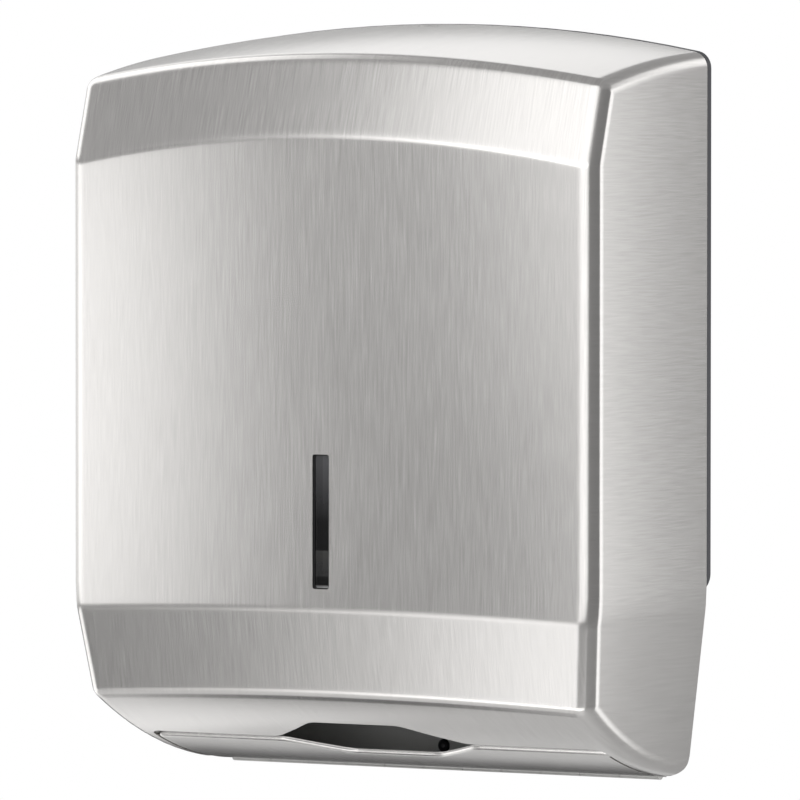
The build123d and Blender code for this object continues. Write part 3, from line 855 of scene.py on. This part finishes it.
def panel(name, corners, material):
    """A flat stage panel with the given corners."""
    mesh = bpy.data.meshes.new(name)
    mesh.from_pydata(corners, [], [range(len(corners))])
    mesh.materials.append(material)
    board = bpy.data.objects.new(name, mesh)
    bpy.context.scene.collection.objects.link(board)
    return board


def facing_panel(name, azimuth, elevation, wide, high, distance, material):
    """A stage panel that faces the object and fills wide by high degrees of its view."""
    middle = heading(azimuth, elevation, distance)
    turn = middle.to_track_quat("Z", "Y")
    x = distance * math.tan(math.radians(wide / 2))
    y = distance * math.tan(math.radians(high / 2))
    corners = [middle + turn @ Vector(c) for c in ((-x, -y, 0), (x, -y, 0), (x, y, 0), (-x, y, 0))]
    return panel(name, corners, material)


def paper_white():
    """The backdrop's finish."""
    material = bpy.data.materials.new("studio_paper_white")
    material.use_nodes = True
    tree = material.node_tree
    tree.nodes.clear()
    light = add(tree, "ShaderNodeEmission", {"Strength": 1.0})
    add(tree, "ShaderNodeOutputMaterial", links={"Surface": light.outputs[0]})
    return material


# Studio. The floor is painted board and the flags are stretched cloth, all matt and nearly even, with tones
# that change over STUDIO_GRAIN millimetres. The backdrop is white paper, lit from behind, which reads as
# plain white. The steel mirrors what stands around it, so the flags give it the darker bands between its
# highlights. The floor's drop and radius are in metres.
STUDIO_GRAIN = 40.0
FLOOR_DROP = 1.6
FLOOR_RADIUS = 12.0
WORLD_GREY = 0.42

floor_board = mottled("studio_floor_painted", ("EBEBEB", "EEEEEE"), metallic=0.0, rough=0.8,
                      rough_spread=0.05, grit=STUDIO_GRAIN, depth=0.01)
cloth_grey = mottled("studio_cloth_grey", ("989898", "9E9E9E"), metallic=0.0, rough=0.9,
                     rough_spread=0.02, grit=STUDIO_GRAIN, depth=0.01)
cloth_black = mottled("studio_cloth_black", ("1A1A1A", "202020"), metallic=0.0, rough=0.9,
                      rough_spread=0.02, grit=STUDIO_GRAIN, depth=0.01)

floor_rim = [heading(a, 0, FLOOR_RADIUS) - Vector((0, 0, FLOOR_DROP)) for a in range(0, 360, 6)]
panel("floor", floor_rim, floor_board)
facing_panel("backdrop", 211, -3.25, 50, 11.5, 6.0, paper_white())

# Each row has the azimuth and elevation of the flag's middle, its width and height in degrees, its distance
# in metres and its cloth.
for flag in (
    ("side_flag", 80, 8, 80, 54, 2.0, cloth_grey),
    ("rear_flag", 211, -18, 70, 19, 3.0, cloth_black),
    ("gap_flag", -24, -1, 36, 30, 2.6, cloth_grey),
    ("low_flag", -45, -23, 38, 7.5, 2.6, cloth_grey),
    ("chin_flag", -86, -64, 30, 13, 1.0, cloth_black),
):
    facing_panel(*flag).visible_camera = False

# The key lamps stand in front, for the front, its slanted bands and the right bend. The left lamps light the
# left edge and the bends' left ends, the rear ones the top, the side lamp the right wall, and the low ones
# the belly and the lip. Each row has the azimuth that the lamp stands at, its sides and its ends in degrees,
# its glow, and its distance in metres.
for lamp_row in (
    ("key_top", 6, (-32.5, 33), (17, 60), 1.38, 2.2),
    ("key_brow", 6, (-39, 33), (9, 17), 3.0, 2.2),
    ("key_right_top", 6, (-25, 33), (-2.6, 9), 1.25, 2.2),
    ("key_right_low", 6, (-19, 33), (-11, -2.6), 1.3, 2.2),
    ("key_low", 6, (-40, -17), (-33, -13), 1.8, 2.2),
    ("key_floor", 6, (-40, 33), (-50, -36.5), 1.9, 1.1),
    ("left_light", -56.5, (-19.5, 19.5), (-9, 4), 1.55, 2.2),
    ("left_top", -92, (-30, 19), (10, 58), 1.5, 2.2),
    ("left_low", -92, (-28, 23), (-34, -14), 1.4, 2.2),
    ("left_rear", -100, (-24, 24), (-9, 4), 0.68, 2.2),
    ("rear_light", 211, (-10, 25), (21, 46), 0.9, 2.2),
    ("rear_right", 158, (-12, 12), (14, 32), 1.2, 2.2),
    ("side_light", 124.5, (-12, 12), (-38, 26), 1.3, 0.71),
    ("low_light", -112, (-17, 21), (-55, -37), 0.49, 0.66),
    ("low_rear", -150, (-25, 25), (-47, -33), 0.24, 1.2),
):
    soft_box(*lamp_row)

world = bpy.data.worlds.new("studio")
world.use_nodes = True
background = world.node_tree.nodes["Background"]
background.inputs["Color"].default_value = (1, 1, 1, 1)
background.inputs["Strength"].default_value = WORLD_GREY
bpy.context.scene.world = world

# The camera stands far off to the right and looks slightly down, with a long lens.
CAMERA_PLACE = (2.3054, -3.8802, 0.1389)
CAMERA_DIP = 2.178
CAMERA_ROLL = -0.02
CAMERA_AZIMUTH = 31
lens = bpy.data.cameras.new("camera")
lens.lens = 436.95
lens.sensor_width = 36.0
lens.clip_end = 100.0
camera = bpy.data.objects.new("camera", lens)
camera.location = CAMERA_PLACE
camera.rotation_euler = Euler([math.radians(a) for a in (90 - CAMERA_DIP, CAMERA_ROLL, CAMERA_AZIMUTH)])
bpy.context.scene.collection.objects.link(camera)
bpy.context.scene.camera = camera
bpy.context.scene.view_settings.view_transform = "Standard"
